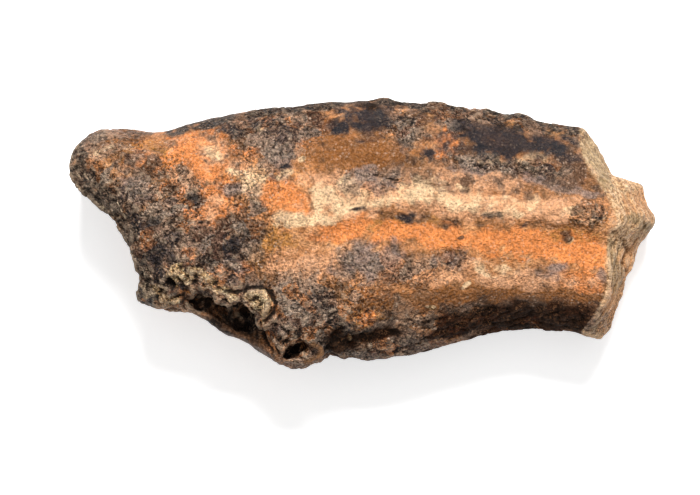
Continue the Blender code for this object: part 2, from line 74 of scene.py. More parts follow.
# The stains, with painted shade among them, in the order they lie over each other: each one's colour and
# shapes.
STAINS = {
    # Umber: a brown stain. Its shapes along the belly's turn, near y 300, are partly painted shade.
    "umber": ((122, 74, 32), [
        (362, 152, 55, 17, 2), (312, 127, 22, 13, -10), (112, 142, 42, 17, 3),
        (136, 150, 22, 8, 0, 0.8), (376, 299, 30, 10, 4), (448, 299, 44, 11, 0), (532, 297, 78, 10, 2),
        (262, 245, 14, 9, 0), (146, 248, 8, 16, -10), (205, 291, 17, 8, 0), (420, 125, 12, 18, 0),
        (303, 340, 11, 5, -25, 0.8), (290, 361, 14, 4, 8, 0.8), (560, 222, 34, 4, 5),
    ]),
    "mustard": ((180, 122, 62), [
        (145, 151, 18, 8, 0), (150, 164, 32, 14, 5, 0.9), (202, 228, 15, 9, 30), (252, 253, 13, 9, 0),
        (268, 240, 22, 12, 0), (425, 118, 10, 12, 0), (385, 119, 5, 5, 0), (453, 112, 6, 3, 0),
        (520, 125, 19, 6, 12), (556, 135, 13, 5, 14), (572, 236, 26, 9, 5), (345, 318, 30, 10, 0),
        (368, 318, 16, 9, 0), (190, 290, 14, 5, 0), (390, 224, 44, 6, -4),
    ]),
    "rust": ((222, 134, 72), [
        (205, 160, 32, 26, 30), (213, 202, 17, 27, 0), (282, 195, 22, 16, 0),
        (152, 164, 30, 13, 0, 0.6), (176, 150, 14, 9, 0), (180, 190, 9, 7, 0), (232, 212, 10, 8, 0),
        (166, 186, 8, 5, 0), (188, 254, 8, 12, 0), (246, 268, 9, 7, 0), (192, 214, 12, 9, 0),
        (445, 145, 11, 15, 10), (345, 228, 34, 9, -12), (400, 232, 36, 10, 0), (460, 238, 50, 14, 2),
        (525, 243, 50, 15, 4), (580, 252, 28, 17, 5), (526, 178, 10, 4, 0), (300, 205, 10, 12, 0),
        (575, 280, 26, 12, 3), (366, 316, 15, 8, 0), (250, 150, 10, 6, 0), (268, 338, 6, 8, 10, 0.9),
        (258, 121, 16, 8, -15, 0.8), (292, 142, 14, 8, 0, 0.7),
    ]),
    "flesh": ((218, 160, 118), [
        (395, 186, 26, 16, 0), (470, 180, 44, 14, 6), (440, 273, 52, 12, -2, 0.9),
        (484, 180, 50, 10, 5), (525, 280, 62, 9, 3), (306, 266, 40, 16, -4), (180, 176, 16, 10, 0),
        (128, 168, 12, 5, 10, 0.6), (92, 158, 10, 8, 0, 0.6), (570, 208, 34, 12, 8),
        (330, 180, 22, 8, 0), (350, 200, 46, 17, -6), (235, 165, 10, 8, 0), (152, 294, 15, 8, 5),
        (176, 303, 12, 5, 15), (310, 300, 22, 12, 0), (520, 208, 60, 12, 5), (455, 206, 46, 12, 2),
        (216, 152, 18, 13, 20, 0.7), (214, 206, 8, 12, 0, 0.6), (414, 335, 14, 9, -10),
        (310, 292, 10, 16, 0), (178, 274, 9, 10, 0), (152, 291, 15, 8, 5),
    ]),
    "cream": ((236, 200, 156), [
        (238, 172, 10, 4, 20, 0.8), (252, 184, 13, 16, 20, 0.8), (287, 219, 19, 8, 0, 0.85),
        (335, 200, 25, 16, -8, 0.68), (322, 221, 14, 5, -8), (362, 201, 20, 10, 0, 0.65),
        (424, 192, 26, 13, 0, 0.75), (424, 192, 12, 9, 0), (455, 199, 30, 10, 2, 0.62),
        (500, 206, 34, 8, 4, 0.48), (530, 204, 7, 9, 0, 0.9), (104, 148, 8, 3, -10, 0.5),
        (214, 152, 11, 6, 20, 0.7), (262, 134, 6, 8, 0), (285, 176, 8, 4, -15, 0.7),
        (305, 160, 4, 3, -40, 0.9), (408, 124, 8, 6, 20, 0.7), (572, 238, 4, 3, 0, 1.6),
        (465, 287, 5, 2, 0), (583, 216, 18, 7, 10, 0.6), (498, 271, 20, 6, 10, 0.5),
        (346, 188, 10, 10, -40, 0.9), (388, 196, 16, 8, 0, 0.55), (334, 204, 12, 8, 0, 0.9),
        (494, 164, 18, 8, 5, 0.9), (533, 162, 16, 8, 0, 0.95), (197, 272, 10, 6, 20, 1.6),
        (209, 280, 9, 6, 35, 1.6),
    ]),
    "purple": ((140, 120, 110), [
        (231, 189, 12, 5, 0), (374, 180, 24, 11, 10, 0.9), (372, 262, 36, 19, -5, 1.15),
        (452, 262, 18, 8, -4, 0.5), (553, 271, 18, 8, 0, 0.6), (405, 138, 9, 12, 0),
        (170, 208, 10, 9, 0), (283, 150, 16, 26, 10), (578, 192, 24, 4, 8, 0.8), (229, 273, 12, 10, 0),
        (166, 232, 18, 18, 20), (214, 246, 28, 11, -12), (176, 264, 14, 9, 0),
        (232, 270, 16, 9, 0, 0.9), (200, 232, 14, 8, 20, 0.9), (318, 312, 26, 14, 20),
        (178, 240, 16, 12, 20), (601, 275, 4, 8, 0, 0.7), (135, 188, 18, 14, 30),
        (283, 324, 16, 10, 10), (380, 350, 34, 8, -8), (480, 168, 24, 6, 0), (540, 178, 30, 5, 8),
        (390, 350, 30, 7, -8), (310, 322, 16, 10, 0),
    ]),
    # Dark brown: a dark stain. Its shapes on the belly and the knuckle's slope are partly painted shade.
    "dark_brown": ((76, 54, 40), [
        (570, 168, 24, 24, 35), (274, 132, 24, 16, 10, 0.7), (535, 310, 90, 9, 0),
        (335, 334, 22, 12, 10), (160, 280, 12, 10, 0), (238, 341, 50, 15, 33),
        (392, 356, 60, 7, -6, 0.8), (108, 132, 26, 6, -4, 0.7), (184, 170, 8, 5, 0, 0.9),
        (334, 128, 9, 7, 0), (568, 234, 8, 4, 0, 0.6), (460, 238, 4, 2, 0), (407, 138, 9, 11, 0),
        (250, 232, 16, 10, 0), (154, 160, 8, 6, 20), (148, 168, 26, 11, 10, 0.85), (192, 199, 10, 7, 0),
        (230, 221, 10, 9, 0), (245, 345, 30, 14, 38), (175, 224, 12, 12, 0), (240, 128, 16, 9, -10),
        (212, 259, 14, 5, 0), (170, 190, 8, 6, 0), (378, 346, 48, 9, -6), (148, 226, 26, 56, -25, 0.35),
        (118, 132, 34, 5, 3, 0.6), (250, 135, 50, 22, -12, 0.35), (290, 320, 60, 30, 20, 0.5),
        (500, 180, 100, 14, 6, 0.35),
    ]),
    "charcoal": ((35, 36, 41), [
        (367, 118, 32, 18, 0, 1.6), (335, 127, 16, 10, 0, 1.6), (430, 155, 6, 6, 0),
        (506, 140, 74, 23, 3, 1.6), (458, 124, 18, 12, 0), (150, 226, 14, 14, 10),
        (156, 255, 13, 20, 0), (229, 250, 18, 12, -12), (234, 240, 8, 8, 0), (203, 223, 9, 3, 5),
        (175, 288, 8, 12, 0), (412, 217, 13, 5, 4, 0.75), (491, 214, 9, 3, 5, 0.5),
        (452, 258, 13, 8, 0, 0.6), (588, 215, 12, 10, 0, 0.55), (285, 166, 8, 4, 0),
        (366, 211, 15, 2, 0, 0.7), (220, 236, 14, 4, -20), (168, 258, 8, 9, 0), (192, 199, 5, 4, 0),
        (298, 126, 6, 5, 0), (334, 128, 9, 6, 0, 1.2), (532, 226, 14, 2, 5, 0.3), (400, 104, 8, 4, 0),
        (555, 148, 16, 9, 10), (500, 138, 54, 15, 3), (366, 118, 18, 13, 0, 1.6),
        (470, 134, 18, 14, 10), (505, 148, 56, 9, 4), (535, 146, 30, 8, 6),
        (150, 240, 22, 45, -20, 0.4), (232, 243, 24, 8, 0, 0.6), (410, 110, 70, 14, 4, 0.55),
        (280, 118, 60, 10, -12, 0.5),
    ]),
    # Black: partly a black stain, partly painted shadow along the belly and in the knuckle's hollows.
    "black": ((30, 21, 15), [
        (338, 338, 16, 11, 10), (376, 333, 28, 5, -3), (330, 350, 9, 9, 0), (205, 304, 18, 8, 15),
        (242, 320, 18, 12, 35), (169, 283, 7, 6, 0), (185, 300, 12, 7, 10), (292, 350, 17, 6, -32),
        (281, 355, 8, 6, 0), (300, 335, 8, 4, -20, 0.8), (540, 326, 74, 4, 0, 0.9),
        (450, 335, 30, 3, -12), (378, 335, 26, 4, -3), (225, 312, 20, 7, 30),
        (214, 322, 10, 5, 30, 0.8), (197, 296, 9, 6, 20), (238, 347, 46, 7, 33, 0.8),
    ]),
}
# How soft a stain's edges are and how strong it is, where that isn't the usual.
USUAL_STAIN = (0.35, 0.92)
SOFT_STAINS = {
    "cream": (0.45, 0.82), "purple": (0.55, 0.92), "flesh": (0.5, 0.85), "umber": (0.5, 0.9),
    "charcoal": (0.6, 0.97), "black": (0.45, 1.0),
}
# Edges that are black, partly a black stain and partly painted shade where they turn away: their lines and
# half widths.
BLACK_LINES = [
    ([(172, 133), (215, 121), (262, 111), (310, 104), (350, 101), (372, 99), (410, 102)], 5),
    ([(410, 102), (448, 106), (480, 112), (512, 116), (545, 125), (577, 132)], 7),
    ([(64, 160), (72, 176), (90, 196), (110, 222), (124, 250), (133, 280)], 6),
]

# The hardened sand, and where the skin is rough or calmer than round about.
CRUST = [
    (233, 299, 7, 5, 10, 0.9), (250, 297, 7, 5, 0), (260, 296, 8, 6, 10), (267, 303, 6, 8, 0),
    (257, 305, 8, 5, 20), (266, 313, 5, 7, 15), (263, 321, 3, 4, 0), (197, 271, 10, 5, 15),
    (209, 280, 10, 5, 35), (187, 278, 9, 6, 0), (176, 274, 8, 10, 0, 0.9), (150, 292, 15, 7, 5, 0.9),
    (168, 300, 12, 5, 10, 0.8), (222, 291, 10, 4, 10, 0.8), (350, 338, 4, 3, 0), (430, 306, 6, 2, 0),
]
ROUGH_SKIN = [
    (185, 240, 75, 75, 0), (290, 330, 100, 50, 0), (500, 118, 90, 8, 10), (374, 262, 34, 20, 0, 0.45),
    (412, 270, 24, 14, 0, 0.6), (452, 259, 18, 12, 0), (588, 214, 15, 12, 0), (110, 210, 34, 60, -35),
    (104, 150, 34, 20, 0, 0.4), (280, 130, 40, 28, 0, 0.6), (500, 322, 120, 14, 0, 0.8),
    (505, 166, 52, 7, 5), (370, 180, 28, 13, 0, 0.35), (405, 130, 18, 16, 0), (455, 122, 16, 12, 0),
    (240, 180, 40, 40, 0, 0.5), (385, 349, 50, 11, -6), (480, 330, 80, 10, -6, 0.7),
]
CALM_SKIN = [
    (208, 156, 26, 20, 30, 0.8), (214, 204, 12, 20, 0, 0.7), (362, 152, 52, 14, 2, 0.5),
    (507, 141, 56, 16, 3, 0.5), (282, 195, 18, 12, 0, 0.6), (470, 240, 120, 24, 4, 0.6),
    (520, 206, 60, 12, 6, 0.6), (367, 119, 18, 12, 0, 0.4),
]
LEAST_ROUGH = 0.2

# The fibrous band beside the joint's edge, as a line, and half its width in plan units.
FIBRES = [(70, 152), (78, 170), (94, 190), (112, 216), (126, 246), (136, 276), (141, 296)]
FIBRES_HALF_WIDTH = 19.0
FIBRES_EDGE = (0.55, 1.15)

# The broken knuckle, where its wall takes the stains of the upper side, and the slope that is smooth.
KNUCKLE = [(205, 300, 75, 40, 20), (286, 346, 26, 14, -15)]
KNUCKLE_WALL = (245, 340, 80, 34, 30)
KNUCKLE_WALL_FACES = (-0.5, -0.15)
SMOOTH_SLOPE = [(241, 338, 44, 11, 33), (216, 322, 16, 8, 30)]
# The lip that curls round the knuckle's lower hollow: its line, half width and height in plan units.
LIPS = [
    ([(313, 344), (319, 347), (321, 353), (316, 359), (306, 362)], 3.2, 2.6),
]
LIP_FACES = (0.1, 0.5)

# Cracks in the skin: their lines, widths and depths in plan units.
CRACKS = [
    ([(375, 174), (388, 176), (401, 179)], 1.4, 2.4),
    ([(414, 180), (425, 183), (436, 185), (448, 184)], 1.4, 2.4),
    ([(482, 191), (495, 193), (510, 194), (526, 202)], 1.4, 2.4),
    ([(353, 211), (365, 213), (378, 213)], 1.4, 2.0),
    ([
        (219, 288), (226, 292), (235, 293), (247, 289), (261, 288), (271, 292), (277, 303), (274, 313),
        (265, 321),
    ], 1.6, 4.0),
    ([(260, 323), (263, 338), (273, 353)], 1.3, 3.0),
    ([(197, 220), (203, 223), (211, 224)], 1.2, 2.0),
    ([(244, 303), (254, 302), (261, 304)], 1.2, 1.4),
    ([(222, 302), (228, 306), (236, 306)], 1.5, 3.0),
    ([(280, 336), (274, 345), (278, 354)], 1.5, 3.0),
    ([(606, 236), (608, 258), (606, 282), (602, 300)], 1.2, 1.5),
    ([(622, 238), (627, 250), (623, 262), (628, 276), (624, 292)], 1.4, 3.0),
    ([(613, 244), (612, 262), (615, 280)], 1.2, 2.0),
    ([(598, 150), (606, 168), (614, 186)], 1.2, 1.5),
    ([(632, 196), (640, 212), (646, 228)], 1.2, 1.5),
]
# Small hollows (a positive depth) and lumps (a negative one): a shape, and the depth in plan units.
DENTS = [
    ((154, 160, 6, 4, 20), 1.0), ((192, 199, 8, 5, 0), 1.0), ((412, 217, 13, 5, 4), 0.7),
    ((230, 220, 7, 6, 0), 0.8), ((615, 234, 3, 3, 0), 3.0), ((430, 155, 5, 6, 0), 0.8),
    ((570, 238, 8, 4, 0), 1.0), ((571, 237, 3, 2, 0), -2.0), ((169, 283, 6, 5, 0), 4.0),
    ((187, 299, 10, 6, 10), 4.0), ((207, 300, 10, 6, 20), 5.0), ((242, 328, 14, 12, 35), 4.0),
    ((233, 299, 8, 5, 10), -3.0), ((251, 297, 6, 5, 0), -3.5), ((261, 296, 7, 5, 10), -4.0),
    ((267, 304, 5, 7, 0), -3.5), ((257, 306, 7, 5, 20), -2.5), ((265, 314, 4, 6, 15), -3.0),
    ((194, 271, 6, 4, 15), -3.5), ((203, 274, 5, 3, 15), -2.5), ((209, 279, 6, 4, 30), -3.0),
    ((181, 273, 6, 7, 0), -2.5), ((150, 293, 9, 5, 10), -3.0), ((166, 303, 7, 4, 10), -3.0),
    ((330, 200, 18, 12, 0), -1.0), ((424, 196, 16, 11, 0), -1.0), ((287, 219, 15, 7, 0), -1.2),
    ((246, 180, 14, 6, 25), -1.0), ((238, 316, 7, 4, 20), -3.0), ((297, 347, 9, 5, -25), 3.0),
    ((285, 344, 7, 6, -20), 4.0),
]

# The relief, as noises: height in millimetres, size of the features in millimetres, which cut, and octaves.
RELIEF = {
    "swells": (0.10, 1.9, 3, 1),
    "wrinkles": (0.16, 1.0, 4, 1),
    "bumps": (0.13, 0.62, 5, 1),
    "crust": (0.12, 0.8, 6, 2),
    "layers": (0.22, 0.8, 7, 2),
    "chips": (0.10, 0.7, 8, 1),
    "knuckle": (0.35, 1.0, 9, 2),
}
BUMPS_STRETCH = (0.8, 1.0, 1.0)
LAYERS_STRETCH = (0.5, 0.4, 1.6)
CURL_REACH = 0.12 * MM
PEBBLE_SIZE = 0.62
PEBBLE_HEIGHT = 0.34
PEBBLE_SINK = 0.08
PEBBLE_STEEPNESS = 2.2
CRUST_STARTS = 0.05
# Below this height the relief adds nothing, so that the claw still rests on its flats.
RESTING_HEIGHT = 0.25 * MM
# The stored height of the relief: how smooth the ground is that it stands out from, its unit and its most.
HEIGHT_SMOOTHINGS = 12
HEIGHT_UNIT = 0.1 * MM
MOST_HEIGHT = 2.5

# Painted shade, partly the bone's own dark stain: where the near side turns under its belly, and on the
# hidden side's belly and back, by their direction and by their place along the claw.
TURNED_UNDER = [
    (530, 320, 100, 18, 0), (455, 330, 32, 9, -14), (338, 342, 16, 13, 10, 0.8),
    (378, 335, 28, 5, -3, 0.8),
]
BELLY_FACES = (0.25, 0.85)
BELLY_ALONG = (285.0, 335.0)
BACK_FACES = (0.55, 0.9)
BACK_ALONG = (-19 * MM, -8 * MM)
BACK_STRAY = 5 * MM
BACK_SHADE = 0.75

# The near side's edge of the break, down the plan, as (y, x), and how soft it is in plan units.
BREAK_EDGE = [
    (125, 581), (131, 581), (142, 580), (168, 588), (181, 597), (193, 605), (205, 611), (222, 617),
    (236, 607), (258, 607), (282, 606), (300, 603), (311, 598), (331, 582), (345, 578),
]
BREAK_EDGE_SOFTNESS = (-1.5, 1.5)
# The hidden side's edge of the break and the joint's face, by their direction and place along the claw.
BREAK_FACES = (0.35, 0.6)
BREAK_STARTS = (16.5 * MM, 19 * MM)
BREAK_IS_NEAR = (-0.15, 0.1)
JOINT_FACES = (0.35, 0.7)
JOINT_STARTS = (18.0 * MM, 20.5 * MM)
# The break's tints, in the way of the stains, and how soft and strong they are.
BREAK_STAINS = {
    "break_grey": ((172, 148, 112), [
        (596, 150, 16, 26, -25), (604, 178, 8, 14, -20),
    ]),
    "break_orange": ((200, 142, 94), [
        (630, 268, 12, 30, 12), (640, 206, 18, 14, 0, 0.7), (614, 306, 12, 28, 12),
    ]),
    "break_olive": ((146, 120, 84), [
        (605, 179, 5, 9, -20), (636, 218, 9, 5, 10), (648, 226, 9, 6, 30), (612, 246, 6, 10, 0),
        (616, 272, 6, 22, 0),
    ]),
    "break_foot": ((112, 94, 86), [
        (590, 323, 9, 9, 0),
    ]),
}
BREAK_STAIN = (0.45, 0.75)

# The ground colours under the stains: where each lies on its noise, and the colour.
BONE_TONES = [
    (0.36, (90, 62, 42)), (0.44, (144, 98, 60)), (0.52, (184, 122, 74)), (0.60, (204, 144, 94)),
    (0.68, (178, 138, 108)),
]
BREAK_TONES = [
    (0.36, (120, 86, 56)), (0.44, (178, 134, 92)), (0.52, (206, 164, 120)), (0.60, (224, 190, 150)),
]
CRUST_TONES = [
    (0.36, (64, 46, 32)), (0.43, (156, 118, 78)), (0.52, (204, 166, 116)), (0.62, (238, 218, 178)),
]
FIBRE_TONES = [
    (0.42, (24, 20, 18)), (0.54, (48, 41, 35)), (0.60, (96, 83, 68)), (0.68, (176, 156, 128)),
]
# The colours of the small marks, among them painted glints, highlights and shade, and of the painted shade.
TINTS = {
    "orange_patch": (196, 124, 72), "charcoal_patch": (50, 47, 50), "grey_patch": (152, 134, 118),
    "dark_stroke_and_shade": (34, 28, 26), "pale_stroke_and_highlight": (136, 116, 98), "crack": (32, 27, 25), "blot": (42, 32, 27),
    "painted_glint": (156, 124, 100), "dot": (70, 46, 30), "speck_and_glint": (240, 206, 178), "glint_in_shade": (160, 112, 76),
    "lip_dark": (92, 62, 40), "lip_pale": (176, 130, 88), "hollow_shade": (28, 21, 17), "height_highlight": (246, 214, 180),
    "shade_wash": (112, 72, 38), "shade": (46, 30, 16),
}

# The noises of the finish: features for each millimetre, detail and roughness.
WIDE = (0.25, 2.0, 0.5)
MIDDLE = (0.8, 1.5, 0.5)
SMALL = (2.0, 3.0, 0.6)
GRIT = (2.0, 3.0, 0.6)
TINY = (4.0, 3.0, 0.65)
FLOW = (0.75, 1.0, 0.5)
FIBRE = (1.0, 2.0, 0.6)
# How the noises are bent: features for each millimetre, and the reach in millimetres.
DRIFT = (0.5, 1.6)
CURL = (1.6, 0.4)
GRAIN_BEND = (1.2, 0.35)
UNEVEN_GRAIN_BEND = (1.0, 0.6)
DOT_BEND = (2.5, 0.25)
PATCH_BEND = (3.0, 0.3)
FLOW_BEND = (1.1, 0.9)
FIBRE_BEND = (0.8, 0.9)
# Grains, seams, dots and patches for each millimetre, and the waves of the strokes.
GRAINS = 2.0
SEAMS = 1.7
DOTS = 3.4
PATCHES = 0.55
STROKE_WAVES = 58.0
# The fibres' scale across and along, for each plan unit.
FIBRES_ACROSS = 0.36
FIBRES_ALONG = 0.09
SPECULAR = 0.12
BUMP_DISTANCE = 0.38 * MM

# The lights: place, what they point at, size and power.
WINDOW = ((0.02, 0.27, 0.36), (0.0, 0.0, 0.005), 0.13, 2.55)
CEILING = ((0.0, 0.0, 0.60), (0.0, 0.0, 0.0), 0.6, 1.45)
ROOM_LIGHT = 0.12
FLOOR_GLOW = 0.55
WHITE = (1.0, 1.0, 1.0, 1.0)
PAPER_WHITE = (0.9, 0.9, 0.9, 1.0)
SENSOR_WIDTH = 36.0

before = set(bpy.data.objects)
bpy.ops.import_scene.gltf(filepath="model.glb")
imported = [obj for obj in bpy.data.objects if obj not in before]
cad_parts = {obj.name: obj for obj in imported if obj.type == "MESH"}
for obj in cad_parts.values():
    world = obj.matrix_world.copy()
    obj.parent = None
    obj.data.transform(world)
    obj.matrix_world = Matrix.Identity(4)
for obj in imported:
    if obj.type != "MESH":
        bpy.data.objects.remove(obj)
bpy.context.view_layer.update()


def linear(red, green, blue):
    """A colour as Blender's nodes take it, from its 0 to 255 values."""
    shares = [value / 255 for value in (red, green, blue)]
    return tuple(s / 12.92 if s <= 0.04045 else ((s + 0.055) / 1.055) ** 2.4 for s in shares) + (1.0,)


def tint(name):
    return linear(*TINTS[name])


def ease(low, high, x):
    """0 below low and 1 above high, with a soft start and end between them."""
    u = np.clip((x - low) / (high - low), 0.0, 1.0)
    return u * u * (3 - 2 * u)


def fine_copy(node):
    """A copy of the node's solid on a fine even grid."""
    bm = bmesh.new()
    bm.from_mesh(node.data)
    bmesh.ops.remove_doubles(bm, verts=bm.verts, dist=1e-7)
    mesh = bpy.data.meshes.new("claw_surface")
    bm.to_mesh(mesh)
    bm.free()
    claw = bpy.data.objects.new("claw_surface", mesh)
    bpy.context.scene.collection.objects.link(claw)
    grid = claw.modifiers.new("grid", "REMESH")
    grid.mode = "VOXEL"
    grid.voxel_size = SURFACE_VOXEL
    graph = bpy.context.evaluated_depsgraph_get()
    fine = bpy.data.meshes.new_from_object(claw.evaluated_get(graph))
    claw.modifiers.clear()
    claw.data = fine
    return claw


class Skin:
    """The vertices of a mesh as arrays, with what is worked out at each of them."""

    def __init__(self, mesh):
        count = len(mesh.vertices)
        self.mesh = mesh
        self.places = np.empty(count * 3)
        mesh.vertices.foreach_get("co", self.places)
        self.places = self.places.reshape(-1, 3)
        edges = np.empty(len(mesh.edges) * 2, dtype=np.int32)
        mesh.edges.foreach_get("vertices", edges)
        self.edges = edges.reshape(-1, 2)
        self.degree = np.bincount(self.edges.ravel(), minlength=count)[:, None]

    def neighbours_mean(self, values):
        a, b = self.edges.T
        total = np.zeros_like(values)
        for axis in range(values.shape[1]):
            total[:, axis] += np.bincount(a, weights=values[b, axis], minlength=len(values))
            total[:, axis] += np.bincount(b, weights=values[a, axis], minlength=len(values))
        return total / self.degree

    def smooth(self, values, times, keep_size=False):
        for _ in range(times):
            values = values + SMOOTHING_SHARE * (self.neighbours_mean(values) - values)
            if keep_size:
                values = values - SIZE_KEEPING_SHARE * (self.neighbours_mean(values) - values)
        return values

    def write(self):
        self.mesh.vertices.foreach_set("co", self.places.ravel())
        self.mesh.update()

    def normals(self):
        self.write()
        out = np.empty(len(self.places) * 3)
        self.mesh.vertex_normals.foreach_get("vector", out)
        return out.reshape(-1, 3)

    def keep(self, name, values):
        """Stores a number for each vertex, for the material to read."""
        stored = self.mesh.attributes.new(name, "FLOAT", "POINT")
        stored.data.foreach_set("value", np.ascontiguousarray(values, dtype=np.float32))


def noise_at(places, across, seed=0.0, octaves=1):
    """Smooth noise from about -1 to 1 at each place, with features of that size in millimetres."""
    offset = Vector((seed * 17.3, seed * 9.1, seed * 5.7))
    scale = 1 / (across * MM)
    total = np.zeros(len(places))
    for octave in range(octaves):
        factor = 2.0**octave
        total += np.array([noise.noise(Vector(p) * (scale * factor) + offset) for p in places]) / factor
    return total


def relief_noise(name, places):
    height, across, seed, octaves = RELIEF[name]
    return height * noise_at(places, across, seed, octaves)


def pebbles_at(places, across):
    """Pebbles of that size in millimetres: 1 on their tops, and 0 in the gaps between them."""
    tops = np.empty(len(places))
    for i, place in enumerate(places):
        nearest, second = noise.voronoi(Vector(place) / (across * MM))[0][:2]
        tops[i] = min(PEBBLE_STEEPNESS * (second - nearest), 1.0)
    return tops


def on_plan(places):
    """Where each place falls on the plan, seen from the eye."""
    spread = EYE_DISTANCE / (EYE.z - places[:, 2]) / PLAN_UNIT
    x = PLAN_MIDDLE[0] + (places[:, 0] - EYE.x) * spread
    y = PLAN_MIDDLE[1] - (places[:, 1] - EYE.y) * spread
    return x, y


def distance_in(shape, x, y):
    """How far each place lies from the shape's middle: 1 on its edge."""
    middle_x, middle_y, half_x, half_y, turn = shape[:5]
    c, s = math.cos(math.radians(turn)), math.sin(math.radians(turn))
    along = ((x - middle_x) * c + (y - middle_y) * s) / half_x
    across = ((y - middle_y) * c - (x - middle_x) * s) / half_y
    return np.hypot(along, across)


def cover_at(distance, most):
    """A half at distance 1, falling to 0 outside it and rising to most inside it."""
    return np.clip(1.6 - 1.1 * distance, 0.0, most)


def covered(shapes, x, y):
    """1 well inside the shapes, a half on their edges and 0 well outside."""
    inside = np.zeros(len(x))
    for shape in shapes:
        most = shape[5] if len(shape) > 5 else 1.3
        inside = np.maximum(inside, cover_at(distance_in(shape, x, y), most))
    return inside


def distance_to_line(points, x, y):
    """How far each place lies from the line through the points, and how far along the line that is."""
    best = np.full(len(x), 1e9)
    along = np.zeros(len(x))
    passed = 0.0
    for (x0, y0), (x1, y1) in zip(points, points[1:]):
        run_x, run_y = x1 - x0, y1 - y0
        length = math.hypot(run_x, run_y)
        share = np.clip(((x - x0) * run_x + (y - y0) * run_y) / length**2, 0.0, 1.0)
        away = np.hypot(x - x0 - share * run_x, y - y0 - share * run_y)
        along = np.where(away < best, passed + share * length, along)
        best = np.minimum(best, away)
        passed += length
    return best, along


def right_of_line(points, x, y):
    """How far each place lies to the right of a line that runs down the plan."""
    line_x = np.interp(y, [point[1] for point in points], [point[0] for point in points])
    return x - line_x


def smooth_facets(skin):
    """Smooths the solid's facets away and rounds the fold. Returns which way each place then faces."""
    skin.places = skin.smooth(skin.places, FACET_SMOOTHINGS, keep_size=True)
    x, y = on_plan(skin.places)
    away, _ = distance_to_line(FOLD, x, y)
    folded = (1 - ease(*FOLD_REACH, away)) * ease(*FOLD_HEIGHTS, skin.places[:, 2])
    skin.places += folded[:, None] * (skin.smooth(skin.places, FOLD_SMOOTHINGS) - skin.places)
    normals = skin.smooth(skin.normals(), NORMAL_SMOOTHINGS)
    return normals / np.linalg.norm(normals, axis=1)[:, None]


class Zones:
    """What kind of surface each place of the smoothed claw is, in shares from 0 to 1."""

    def __init__(self, places, normals):
        self.places, self.normals = places, normals
        self.x, self.y = on_plan(places)
        self.warp_x = EDGE_STRAY * noise_at(places, EDGE_STRAY_SIZE, 1, 2)
        self.warp_y = EDGE_STRAY * noise_at(places, EDGE_STRAY_SIZE, 2, 2)
        upward = normals[:, 2]
        self.near = ease(*FACES_UP, upward)
        up = ease(*UPPER_HEIGHTS, places[:, 2] + UPPER_RAISE * self.near)
        wall = np.minimum(covered([KNUCKLE_WALL], self.x, self.y), 1.0)
        self.up = np.maximum(up, wall * ease(*KNUCKLE_WALL_FACES, upward))
        # Stains wander on the steep walls, so that none of them runs straight down.
        self.wander = noise_at(places, WALL_STRAY_SIZE, 10, 2)
        self.strayed = self.warp_x + WALL_STRAY * (1 - ease(*STEEP_ENDS, np.abs(upward))) * self.wander
        self.find_ends()
        self.find_skin()

    def bent_plan(self, share):
        """The plan's x and y, pushed about by that share of the edges' stray."""
        return self.x + share * self.warp_x, self.y + share * self.warp_y

    def stain(self, shapes):
        """How far the shapes cover each place, on the side that faces up and mirrored on the hidden one."""
        seen = covered(shapes, self.x + self.strayed, self.y + self.warp_y)
        hidden = covered(shapes, MIRROR_SUM - self.x + self.strayed, self.y + self.warp_y)
        return seen * self.up + hidden * (1 - self.up)

    def find_ends(self):
        """Finds the break, the joint's face and the fibres beside it."""
        edge = np.interp(self.y, *zip(*BREAK_EDGE))
        seen_break = ease(*BREAK_EDGE_SOFTNESS, self.x - edge + 0.4 * self.warp_x)
        hidden_break = ease(*BREAK_FACES, self.normals[:, 0]) * ease(*BREAK_STARTS, self.places[:, 0])
        facing = ease(*BREAK_IS_NEAR, self.normals[:, 2])
        self.broken = seen_break * facing + hidden_break * (1 - facing)
        joint = ease(*JOINT_FACES, -self.normals[:, 0]) * ease(*JOINT_STARTS, -self.places[:, 0])
        place = self.x + 0.3 * self.strayed, self.y + 0.3 * self.warp_y
        away, self.fibre_along = distance_to_line(FIBRES, *place)
        fibres = (1 - ease(*FIBRES_EDGE, away / FIBRES_HALF_WIDTH)) * (1 - self.broken)
        self.fibres = np.maximum(fibres, joint)

    def find_skin(self):
        """Finds the knuckle's slope and lip, how rough the skin is, and the crust."""
        self.slope = np.clip(covered(SMOOTH_SLOPE, self.x, self.y), 0.0, 1.0) * self.up
        self.lip = np.zeros(len(self.x))
        for points, half_width, _ in LIPS:
            away, _ = distance_to_line(points, self.x, self.y)
            lip = (1 - ease(0.4, 1.2, away / half_width)) * ease(*LIP_FACES, self.normals[:, 2])
            self.lip = np.maximum(self.lip, lip)
        rough = np.clip(LEAST_ROUGH + self.stain(ROUGH_SKIN), 0.0, 1.0)
        self.rough = rough * (1 - 0.85 * self.slope) * (1 - 0.8 * self.lip)
        self.rough *= 1 - 0.8 * np.minimum(self.stain(CALM_SKIN), 1.0)
        self.crust = covered(CRUST, *self.bent_plan(0.4)) * self.up * (1 - self.slope)
        self.knuckle = covered(KNUCKLE, self.x, self.y) * self.up * (1 - self.slope) * (1 - self.lip)


